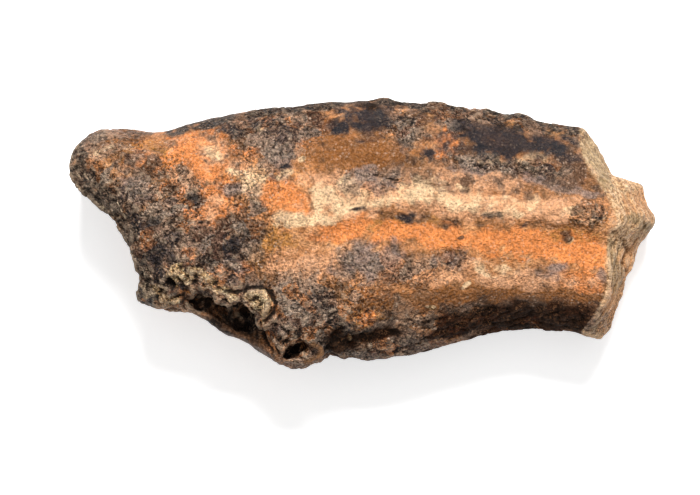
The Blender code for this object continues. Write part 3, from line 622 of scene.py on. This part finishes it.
def textured_relief(zones):
    """The relief that noise makes, from broad swells to the wrinkles of the rough skin, in metres."""
    places, rough, whole = zones.places, zones.rough, 1 - zones.broken
    curl = places + CURL_REACH * np.stack([zones.warp_x, zones.warp_y, zones.warp_x], 1)
    relief = relief_noise("swells", places) * (0.4 + rough)
    depth, *wrinkles = RELIEF["wrinkles"]
    relief -= depth * (1 - ease(0.0, 0.2, np.abs(noise_at(curl, *wrinkles)))) * rough * whole
    relief += relief_noise("bumps", curl * np.array(BUMPS_STRETCH)) * (0.15 + rough) * whole
    grainy = zones.crust > CRUST_STARTS
    pebbles = PEBBLE_HEIGHT * pebbles_at(places[grainy], PEBBLE_SIZE)
    relief[grainy] += pebbles * np.minimum(zones.crust[grainy], 1.0) - PEBBLE_SINK
    relief += relief_noise("crust", places) * zones.crust
    relief += relief_noise("layers", places * np.array(LAYERS_STRETCH)) * zones.broken
    relief += relief_noise("chips", places) * zones.broken
    relief += relief_noise("knuckle", places) * zones.knuckle
    return relief * MM


def placed_relief(zones):
    """The relief of the cracks, the dents and the lip, in metres."""
    relief = np.zeros(len(zones.x))
    for points, width, depth in CRACKS:
        away, _ = distance_to_line(points, *zones.bent_plan(0.4))
        relief -= depth * PLAN_UNIT * np.exp(-((away / width) ** 2)) * zones.near
    for shape, depth in DENTS:
        away = distance_in(shape, *zones.bent_plan(0.8))
        relief -= depth * PLAN_UNIT * (1 - ease(0.3, 1.25, away)) * zones.near
    for points, half_width, rise in LIPS:
        away, _ = distance_to_line(points, zones.x, zones.y)
        relief += rise * PLAN_UNIT * (1 - ease(0.2, 1.3, away / half_width)) * zones.near
    return relief


def height_over_ground(skin, zones):
    """How far each place stands out from the smooth ground. The slope and the lip count as nearly flat."""
    ground = skin.smooth(skin.places, HEIGHT_SMOOTHINGS)
    height = np.einsum("ij,ij->i", skin.places - ground, zones.normals) / HEIGHT_UNIT
    calm = 1 - np.minimum(1.4 * np.maximum(zones.slope, zones.lip), 0.95)
    return np.clip(height * np.where(height > 0, calm, 1.0), -MOST_HEIGHT, MOST_HEIGHT)


def black_cover(zones):
    """The black, partly stain and partly painted shadow, with the black edges that are partly painted
    shade.
    """
    black = zones.stain(STAINS["black"][1])
    for points, half_width in BLACK_LINES:
        away, _ = distance_to_line(points, *zones.bent_plan(0.6))
        black = np.maximum(black, cover_at(away / half_width, 1.0))
    return black


def shade_cover(zones, black):
    """The painted shade of the belly and of the hidden back, partly the bone's own dark stain."""
    under = np.minimum(covered(TURNED_UNDER, *zones.bent_plan(0.8)), 1.0)
    belly = ease(*BELLY_FACES, -zones.normals[:, 1]) * ease(*BELLY_ALONG, zones.x + zones.strayed)
    belly = (under * zones.near + belly * (1 - zones.near)) * (1 - zones.broken)
    back = ease(*BACK_FACES, zones.normals[:, 1]) * (1 - zones.broken)
    back *= ease(*BACK_ALONG, zones.places[:, 0] + BACK_STRAY * zones.wander)
    back *= BACK_SHADE * (0.7 + 0.6 * zones.wander) * (1 - 0.8 * np.minimum(black, 1.0))
    return np.maximum(belly, back)


def sculpt(skin):
    """Puts the worn bone's relief onto the surface, and stores what the stains and the painted shade need.
    """
    normals = smooth_facets(skin)
    zones = Zones(skin.places, normals)
    relief = textured_relief(zones) + placed_relief(zones)
    floor = skin.places[:, 2] < RESTING_HEIGHT
    relief[floor] = np.minimum(relief[floor], 0.0)
    skin.places = skin.places + normals * relief[:, None]
    skin.places[:, 2] = np.maximum(skin.places[:, 2], 0.0)
    skin.write()

    black = black_cover(zones)
    for name, (_, shapes) in STAINS.items():
        skin.keep(name, black if name == "black" else zones.stain(shapes))
    for name, (_, shapes) in BREAK_STAINS.items():
        skin.keep(name, covered(shapes, *zones.bent_plan(0.6)) * zones.broken)
    skin.keep("shade", shade_cover(zones, black))
    skin.keep("crust", zones.crust)
    skin.keep("lip", zones.lip)
    skin.keep("broken", zones.broken)
    skin.keep("fibres", zones.fibres)
    skin.keep("fibre_across", right_of_line(FIBRES, zones.x, zones.y))
    skin.keep("fibre_along", zones.fibre_along)
    skin.keep("rough", zones.rough)
    skin.keep("height", height_over_ground(skin, zones))


class Nodes:
    """Short ways to add nodes to a tree."""

    def __init__(self, tree):
        self.tree = tree

    def add(self, kind, settings=(), **inputs):
        node = self.tree.nodes.new(kind)
        for name, value in dict(settings).items():
            setattr(node, name, value)
        for name, value in inputs.items():
            self.put(node.inputs[name.replace("_", " ")], value)
        return node

    def put(self, socket, value):
        if isinstance(value, bpy.types.NodeSocket):
            self.tree.links.new(value, socket)
        else:
            socket.default_value = value

    def math(self, operation, *values):
        node = self.tree.nodes.new("ShaderNodeMath")
        node.operation = operation
        for socket, value in zip(node.inputs, values):
            self.put(socket, value)
        return node.outputs[0]

    def times(self, first, *others):
        for other in others:
            first = self.math("MULTIPLY", first, other)
        return first

    def plus(self, a, b):
        return self.math("ADD", a, b)

    def minus(self, a, b):
        return self.math("SUBTRACT", a, b)

    def scaled(self, value, by, least):
        """The value times a number, on top of the least."""
        return self.math("MULTIPLY_ADD", value, by, least)

    def step(self, value, low, high, to_low=0.0, to_high=1.0):
        node = self.tree.nodes.new("ShaderNodeMapRange")
        node.interpolation_type = "SMOOTHSTEP"
        for socket, number in zip(node.inputs, (value, low, high, to_low, to_high)):
            self.put(socket, number)
        return node.outputs[0]

    def mix(self, share, under, over, blend="MIX"):
        node = self.tree.nodes.new("ShaderNodeMix")
        node.data_type = "RGBA"
        node.blend_type = blend
        self.put(node.inputs["Factor"], share)
        self.put(node.inputs[6], under)
        self.put(node.inputs[7], over)
        return node.outputs[2]

    def noise(self, place, scale, detail=4.0, roughness=0.6):
        node = self.add("ShaderNodeTexNoise", Vector=place, Scale=scale, Detail=detail, Roughness=roughness)
        return node.outputs["Fac"], node.outputs["Color"]

    def bent(self, place, scale, reach):
        """The place pushed about by a noise, by up to that reach."""
        _, drift = self.noise(place, scale, 1.0)
        node = self.add("ShaderNodeVectorMath", {"operation": "MULTIPLY_ADD"})
        for socket, value in zip(node.inputs, (drift, (reach,) * 3, place)):
            self.put(socket, value)
        return node.outputs[0]

    def channels(self, colours):
        return self.add("ShaderNodeSeparateColor", Color=colours).outputs

    def grains(self, place, scale):
        """Uneven grains: how far each place is from its grain's middle, and each grain's random tones."""
        node = self.add("ShaderNodeTexVoronoi", Vector=place, Scale=scale)
        return node.outputs["Distance"], self.channels(node.outputs["Color"])

    def seams(self, place, scale):
        """How far each place is from the seam between its grain and the next."""
        to_edge = {"feature": "DISTANCE_TO_EDGE"}
        return self.add("ShaderNodeTexVoronoi", to_edge, Vector=place, Scale=scale).outputs["Distance"]

    def stored(self, name):
        return self.add("ShaderNodeAttribute", {"attribute_name": name}).outputs["Fac"]

    def ramp(self, value, stops):
        node = self.tree.nodes.new("ShaderNodeValToRGB")
        elements = node.color_ramp.elements
        while len(elements) < len(stops):
            elements.new(0.5)
        for element, (position, colour) in zip(elements, stops):
            element.position = position
            element.color = linear(*colour)
        self.put(node.inputs[0], value)
        return node.outputs["Color"]


def stain_group():
    """Lays a stain over a colour. A coarse and a fine grain break up the stain's edge."""
    group = bpy.data.node_groups.new("stain", "ShaderNodeTree")
    for name, kind, default in (
        ("Under", "NodeSocketColor", (0.5, 0.5, 0.5, 1.0)),
        ("Stain", "NodeSocketColor", (0.5, 0.5, 0.5, 1.0)),
        ("Cover", "NodeSocketFloat", 0.0),
        ("Coarse", "NodeSocketFloat", 0.5),
        ("Fine", "NodeSocketFloat", 0.5),
        ("Softness", "NodeSocketFloat", 0.3),
        ("Strength", "NodeSocketFloat", 1.0),
    ):
        group.interface.new_socket(name, in_out="INPUT", socket_type=kind).default_value = default
    group.interface.new_socket("Color", in_out="OUTPUT", socket_type="NodeSocketColor")
    n = Nodes(group)
    given = group.nodes.new("NodeGroupInput").outputs
    coarse = n.times(n.minus(given["Coarse"], 0.5), 2.6)
    fine = n.minus(given["Fine"], 0.5)
    edge = n.plus(given["Cover"], n.plus(coarse, fine))
    low = n.minus(0.5, given["Softness"])
    high = n.plus(0.5, given["Softness"])
    share = n.times(n.step(edge, low, high), given["Strength"], n.step(given["Cover"], 0.02, 0.25))
    n.put(group.nodes.new("NodeGroupOutput").inputs["Color"], n.mix(share, given["Under"], given["Stain"]))
    return group


class Bone(Nodes):
    """The finish of the fossil bone, with the noises and stored numbers that its layers share."""

    def __init__(self, tree):
        super().__init__(tree)
        self.group = stain_group()
        place = self.add("ShaderNodeMapping", Scale=(1 / MM,) * 3)
        self.put(place.inputs["Vector"], self.add("ShaderNodeTexCoord").outputs["Object"])
        self.place = place.outputs["Vector"]
        drifted = self.bent(self.place, *DRIFT)
        self.curled = self.bent(drifted, *CURL)
        grained = self.bent(self.place, *GRAIN_BEND)
        self.wide, _ = self.noise(self.place, *WIDE)
        self.middle, middle_colours = self.noise(drifted, *MIDDLE)
        self.small, small_colours = self.noise(self.curled, *SMALL)
        self.tiny, tiny_colours = self.noise(grained, *TINY)
        self.grit, _ = self.noise(grained, *GRIT)
        self.middles = self.channels(middle_colours)
        self.smalls = self.channels(small_colours)
        self.tinies = self.channels(tiny_colours)
        self.rough, self.broken, self.charcoal = map(self.stored, ("rough", "broken", "charcoal"))

    def stained(self, under, colour, cover, turn, softness=0.35, strength=1.0):
        """Lays the stain over a colour. The turn picks the noise channels that break up its edge."""
        node = self.tree.nodes.new("ShaderNodeGroup")
        node.node_tree = self.group
        names = ("Under", "Stain", "Cover", "Coarse", "Fine", "Softness", "Strength")
        coarse, fine = self.middles[turn % 3], self.smalls[(turn + 1) % 3]
        for name, value in zip(names, (under, colour, cover, coarse, fine, softness, strength)):
            self.put(node.inputs[name], value)
        return node.outputs["Color"]

    def halves(self, a, b):
        return self.plus(self.times(a, 0.5), self.times(b, 0.5))

    def ground(self):
        """The bone's ground colour under its stains and painted shade, the break, the crust and the fibres
        by the joint.
        """
        colour = self.ramp(self.halves(self.wide, self.middle), BONE_TONES)
        for turn, (name, (stain_colour, _)) in enumerate(STAINS.items()):
            soft, strength = SOFT_STAINS.get(name, USUAL_STAIN)
            colour = self.stained(colour, linear(*stain_colour), self.stored(name), turn, soft, strength)
        inside = self.halves(self.small, self.tiny)
        broken_tone = self.ramp(inside, BREAK_TONES)
        for turn, (name, (stain_colour, _)) in enumerate(BREAK_STAINS.items()):
            cover = self.stored(name)
            broken_tone = self.stained(broken_tone, linear(*stain_colour), cover, turn, *BREAK_STAIN)
        colour = self.mix(self.broken, colour, broken_tone)
        colour = self.stained(colour, self.ramp(inside, CRUST_TONES), self.stored("crust"), 0, 0.2)
        fibre_place = self.add(
            "ShaderNodeCombineXYZ",
            X=self.times(self.stored("fibre_across"), FIBRES_ACROSS),
            Y=self.times(self.stored("fibre_along"), FIBRES_ALONG),
        )
        fibre, _ = self.noise(self.bent(fibre_place.outputs[0], *FIBRE_BEND), *FIBRE)
        return self.stained(colour, self.ramp(fibre, FIBRE_TONES), self.stored("fibres"), 2, 0.35, 0.95)

    def find_marks(self):
        """Finds how much each place shows the small marks, and the strokes that run through the skin."""
        whole = self.minus(1.0, self.times(self.broken, 0.5))
        skin = self.times(self.math("POWER", self.rough, 1.2), whole)
        for name, low, high, least in (
            ("charcoal", 0.7, 1.1, 0.3), ("fibres", 0.5, 1.0, 0.4),
            ("crust", 0.4, 0.9, 0.3), ("black", 0.4, 0.9, 0.4),
        ):
            skin = self.times(skin, self.step(self.stored(name), low, high, 1.0, least))
        self.skin = skin
        # Dark and pale strokes alternate: the dark ones partly painted shade in the grooves that the bumps
        # sink, the pale ones partly painted highlights on the ridges that the bumps lift.
        flow, _ = self.noise(self.bent(self.place, *FLOW_BEND), *FLOW)
        wave = self.math("SINE", self.times(flow, STROKE_WAVES))
        dark = self.times(self.step(wave, -0.55, -0.95), self.step(self.smalls[0], 0.46, 0.58))
        pale = self.times(self.step(wave, 0.45, 0.9), self.step(self.smalls[1], 0.46, 0.56))
        pale = self.times(pale, self.step(self.middles[0], 0.44, 0.56))
        self.dark, self.pale = self.times(dark, skin), self.times(pale, skin)
        self.grain_away, self.grain_tones = self.grains(self.bent(self.place, *UNEVEN_GRAIN_BEND), GRAINS)

    def mottled(self, colour):
        """Patches, and the uneven tone of the grain."""
        patchy = self.times(self.skin, self.step(self.stored("rust"), 0.3, 1.0, 1.0, 0.3))
        _, patch_tones = self.grains(self.bent(self.curled, *PATCH_BEND), PATCHES)
        patches = (("orange_patch", 0.55), ("charcoal_patch", 0.7), ("grey_patch", 0.65))
        for patch_tone, (name, amount) in zip(patch_tones, patches):
            patch = self.times(self.step(patch_tone, 0.66, 0.74), self.times(patchy, amount))
            colour = self.mix(patch, colour, tint(name))
        uneven = self.scaled(self.rough, 0.7, 0.28)
        mottle = self.plus(self.times(self.middle, 0.4), self.times(self.grit, 0.6))
        for share, tone in (
            (uneven, self.step(self.tiny, 0.36, 0.64, 0.6, 1.4)),
            (uneven, self.step(mottle, 0.34, 0.66, 0.62, 1.38)),
            (self.scaled(self.rough, 0.5, 0.12), self.step(self.grain_tones[0], 0.0, 1.0, 0.6, 1.4)),
        ):
            colour = self.mix(share, colour, tone, "MULTIPLY")
        return colour

    def marked(self, colour):
        """Strokes, cracks, blots, painted glints, dots and specks, the lip, then painted shade and
        highlights by height.
        """
        dot_away, dot_tones = self.grains(self.bent(self.place, *DOT_BEND), DOTS)
        seam = self.seams(self.curled, SEAMS)
        cracked = self.times(self.step(seam, 0.12, 0.02), self.step(self.smalls[0], 0.42, 0.56))
        blot = self.times(self.step(self.tiny, 0.46, 0.40), self.scaled(self.skin, 0.65, 0.16))
        # Painted glints: pale flecks added onto the colour, fewest on the charcoal.
        painted_glint_least = self.step(self.charcoal, 0.6, 1.1, 0.25, 0.05)
        painted_glint = self.times(self.step(self.tinies[2], 0.52, 0.57), self.scaled(self.skin, 0.5, painted_glint_least))
        dot = self.times(self.step(dot_away, 0.42, 0.22), self.step(dot_tones[0], 0.80, 0.86))
        # Pale specks, partly the bone's pale grains and partly painted glints.
        speck_and_glint = self.times(self.step(dot_away, 0.5, 0.25), self.step(dot_tones[1], 0.78, 0.84))
        speck_and_glint = self.times(
            speck_and_glint, self.step(self.middles[2], 0.42, 0.56), self.step(self.charcoal, 0.4, 0.9, 1.0, 0.35)
        )
        for name, share, blend in (
            ("dark_stroke_and_shade", self.times(self.dark, 0.6), "MIX"),
            ("crack", self.times(cracked, self.skin, 0.75), "MIX"),
            ("blot", blot, "MIX"),
            ("painted_glint", painted_glint, "ADD"),
            ("dot", self.times(dot, self.scaled(self.rough, 0.3, 0.35)), "MIX"),
            ("pale_stroke_and_highlight", self.times(self.pale, 0.75), "ADD"),
            ("speck_and_glint", self.times(speck_and_glint, self.scaled(self.skin, 0.55, 0.2)), "MIX"),
        ):
            colour = self.mix(share, colour, tint(name), blend)
        lip_tone = self.mix(self.small, tint("lip_dark"), tint("lip_pale"))
        colour = self.mix(self.times(self.stored("lip"), 0.8), colour, lip_tone)
        # Painted shade in the hollows and painted highlights on the high places, from the stored height of
        # the relief.
        height = self.stored("height")
        hollow_shade = self.step(height, -0.15, -1.4, 0.0, 0.9)
        hollow_shade = self.times(hollow_shade, self.step(self.rough, 0.1, 0.5, 0.3, 1.0))
        height_highlight = self.step(height, 0.15, 1.2, 0.0, 0.3)
        height_highlight = self.times(height_highlight, self.step(self.charcoal, 0.5, 1.0, 1.0, 0.3))
        return self.mix(height_highlight, self.mix(hollow_shade, colour, tint("hollow_shade")), tint("height_highlight"))

    def shaded(self, colour):
        """The painted shade of the belly and back, partly their own dark stain, with painted glints that
        are partly pale specks. Returns the colour and how dark the shade is.
        """
        shade = self.plus(self.stored("shade"), self.minus(self.middles[1], 0.5))
        shade = self.step(shade, 0.2, 0.8, 0.0, 0.95)
        # The painted shade darkens and browns the colour where the surface turns under.
        turned = self.mix(0.45, self.mix(1.0, colour, tint("shade_wash"), "MULTIPLY"), tint("shade"))
        colour = self.mix(shade, colour, turned)
        # Painted glints in the painted shade, partly the belly's own pale specks.
        glint_in_shade = self.times(self.step(self.tinies[1], 0.53, 0.60), self.step(self.middles[0], 0.45, 0.60))
        return self.mix(self.times(glint_in_shade, shade, 0.7), colour, tint("glint_in_shade")), shade

    def roughness(self, shade):
        dull = self.plus(self.times(shade, 0.45), self.times(self.charcoal, 0.3))
        return self.plus(self.step(self.small, 0.3, 0.7, 0.40, 0.66), dull)

    def bumps(self):
        """The height of the grain that is finer than the mesh."""
        bumps = self.plus(self.times(self.grit, 1.9), self.times(self.tiny, 1.3))
        bumps = self.minus(bumps, self.times(self.grain_away, 0.35))
        bumps = self.times(bumps, self.plus(0.3, self.times(self.rough, 0.7)))
        bumps = self.minus(bumps, self.times(self.dark, 0.3))
        return self.plus(bumps, self.times(self.pale, 0.2))


def bone_material():
    material = bpy.data.materials.new("stained_fossil_bone")
    material.use_nodes = True
    shader = material.node_tree.nodes["Principled BSDF"]
    bone = Bone(material.node_tree)
    bone.find_marks()
    colour, shade = bone.shaded(bone.marked(bone.mottled(bone.ground())))
    bone.put(shader.inputs["Base Color"], colour)
    bone.put(shader.inputs["Roughness"], bone.roughness(shade))
    shader.inputs["Specular IOR Level"].default_value = SPECULAR
    bump = bone.add("ShaderNodeBump", Strength=1.0, Distance=BUMP_DISTANCE, Height=bone.bumps())
    bone.put(shader.inputs["Normal"], bump.outputs["Normal"])
    return material


def make_floor():
    bm = bmesh.new()
    bmesh.ops.create_grid(bm, x_segments=1, y_segments=1, size=1.0)
    mesh = bpy.data.meshes.new("floor")
    bm.to_mesh(mesh)
    bm.free()
    floor = bpy.data.objects.new("floor", mesh)
    bpy.context.scene.collection.objects.link(floor)
    paper = bpy.data.materials.new("white_paper")
    paper.use_nodes = True
    shader = paper.node_tree.nodes["Principled BSDF"]
    shader.inputs["Base Color"].default_value = PAPER_WHITE
    shader.inputs["Roughness"].default_value = 0.9
    shader.inputs["Emission Color"].default_value = WHITE
    shader.inputs["Emission Strength"].default_value = FLOOR_GLOW
    mesh.materials.append(paper)


def make_light(name, place, aim, size, power):
    lamp = bpy.data.lights.new(name, "AREA")
    lamp.size = size
    lamp.energy = power
    light = bpy.data.objects.new(name, lamp)
    bpy.context.scene.collection.objects.link(light)
    light.location = place
    light.rotation_euler = (Vector(aim) - Vector(place)).to_track_quat("-Z", "Y").to_euler()


def make_stage():
    """The floor, the lights and the camera."""
    scene = bpy.context.scene
    make_floor()
    make_light("window", *WINDOW)
    make_light("ceiling", *CEILING)
    world = bpy.data.worlds.new("room")
    world.use_nodes = True
    world.node_tree.nodes["Background"].inputs["Color"].default_value = WHITE
    world.node_tree.nodes["Background"].inputs["Strength"].default_value = ROOM_LIGHT
    scene.world = world
    lens = bpy.data.cameras.new("camera")
    lens.sensor_width = SENSOR_WIDTH
    lens.lens = lens.sensor_width * EYE_DISTANCE / PLAN_WIDTH
    lens.clip_start = 0.01
    lens.clip_end = 10.0
    camera = bpy.data.objects.new("camera", lens)
    scene.collection.objects.link(camera)
    camera.location = EYE
    scene.camera = camera
    scene.view_settings.view_transform = "Standard"


claw = fine_copy(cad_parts["fossil_claw"])
sculpt(Skin(claw.data))
claw.data.materials.append(bone_material())
claw.data.shade_smooth()
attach(claw, "root")
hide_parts("fossil_claw")
make_stage()
